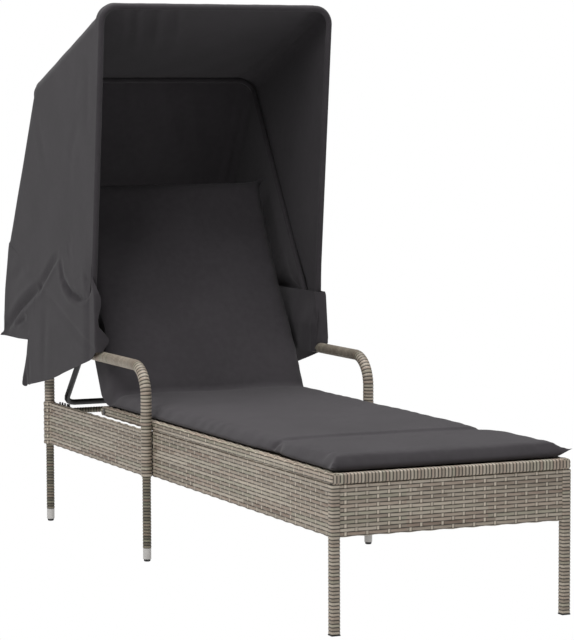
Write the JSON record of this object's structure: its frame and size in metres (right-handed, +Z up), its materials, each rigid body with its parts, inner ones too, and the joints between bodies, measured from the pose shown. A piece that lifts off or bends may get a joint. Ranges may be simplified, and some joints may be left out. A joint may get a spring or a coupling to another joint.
{
  "type": "sun lounger with canopy",
  "caption": "Woven sun lounger on slim legs with armrest hoops, a reclining padded back on a folding stay, and a folding fabric canopy on pivoting bows.",
  "frame": {"origin": "on the floor, under the middle of the whole lounger's length and width", "axes": "+Y from the foot end to the head end, +X to the right as seen from the foot end, +Z up"},
  "size_m": [0.6898, 2.1636, 1.4184],
  "materials": {
    "wicker": "satin",
    "wicker_dark": "satin",
    "black_steel": "satin",
    "zinc_steel": "satin",
    "grey_sleeve": "satin",
    "black_plastic": "satin",
    "cushion_fabric": "matte",
    "canopy_fabric": "matte"
  },
  "bodies": {
    "base": {"seat_frame": "wicker", "seat_woven_deck": "wicker", "foot_apron": "wicker", "left_front_apron": "wicker", "right_front_apron": "wicker", "left_rear_apron": "wicker", "right_rear_apron": "wicker", "left_foot_leg": "wicker", "right_foot_leg": "wicker", "left_foot_plug": "black_plastic", "right_foot_plug": "black_plastic", "left_arm_hoop": "wicker", "right_arm_hoop": "wicker", "left_front_lower_leg": "wicker_dark", "left_front_leg_sleeve": "grey_sleeve", "left_front_glide": "black_plastic", "right_front_lower_leg": "wicker_dark", "right_front_leg_sleeve": "grey_sleeve", "right_front_glide": "black_plastic", "left_rear_lower_leg": "wicker_dark", "left_rear_leg_sleeve": "grey_sleeve", "left_rear_glide": "black_plastic", "right_rear_lower_leg": "wicker_dark", "right_rear_leg_sleeve": "grey_sleeve", "right_rear_glide": "black_plastic", "middle_cross_tube": "black_steel", "head_cross_tube": "wicker_dark", "left_stay_rack": "black_steel", "left_hinge_bolt": "zinc_steel", "left_hinge_washer": "black_plastic", "left_hinge_nut": "zinc_steel", "left_canopy_bracket": "black_plastic", "left_canopy_pivot_bolt": "zinc_steel", "left_canopy_pivot_nut": "zinc_steel", "right_stay_rack": "black_steel", "right_hinge_bolt": "zinc_steel", "right_hinge_washer": "black_plastic", "right_hinge_nut": "zinc_steel", "right_canopy_bracket": "black_plastic", "right_canopy_pivot_bolt": "zinc_steel", "right_canopy_pivot_nut": "zinc_steel", "seat_cushion": "cushion_fabric"},
    "backrest": {"backrest_frame": "black_steel", "backrest_woven_deck": "wicker_dark", "backrest_cushion": "cushion_fabric", "left_stay_bolt": "zinc_steel", "right_stay_bolt": "zinc_steel", "left_backrest_buffer": "black_plastic", "right_backrest_buffer": "black_plastic"},
    "stay": {"support_stay": "black_steel"},
    "rear_canopy": {"rear_bow": "black_steel", "canopy_curtain": "canopy_fabric"},
    "middle_canopy": {"middle_bow": "black_steel", "canopy_rear_panel": "canopy_fabric"},
    "front_canopy": {"front_bow": "black_steel", "canopy_front_panel": "canopy_fabric"}
  },
  "joints": [
    {"name": "backrest_hinge", "type": "hinge", "parent": "base", "child": "backrest", "pos_m": [0, 0.33015, 0.345], "axis": [1, 0, 0], "range_deg": [-61, 6]},
    {"name": "stay_pivot", "type": "hinge", "parent": "backrest", "child": "stay", "pos_m": [0, 0.48126, 0.57223], "axis": [1, 0, 0], "range_deg": [-10.6, 107.9]},
    {"name": "rear_bow_pivot", "type": "hinge", "parent": "base", "child": "rear_canopy", "pos_m": [0, 0.34515, 0.53], "axis": [1, 0, 0], "range_deg": [-13.4, 0]},
    {"name": "middle_bow_pivot", "type": "hinge", "parent": "rear_canopy", "child": "middle_canopy", "pos_m": [0, 0.34515, 0.53], "axis": [1, 0, 0], "range_deg": [-27.3, 0], "deforming": ["canopy_rear_panel"]},
    {"name": "front_bow_pivot", "type": "hinge", "parent": "middle_canopy", "child": "front_canopy", "pos_m": [0, 0.34515, 0.53], "axis": [1, 0, 0], "range_deg": [-27.3, 0], "deforming": ["canopy_front_panel"]}
  ],
  "couplings": [
    {"joint": "stay_pivot", "follows": "backrest_hinge", "ratio": -1.7684},
    {"joint": "middle_bow_pivot", "follows": "rear_bow_pivot", "ratio": 2.0373},
    {"joint": "front_bow_pivot", "follows": "rear_bow_pivot", "ratio": 2.0373}
  ]
}
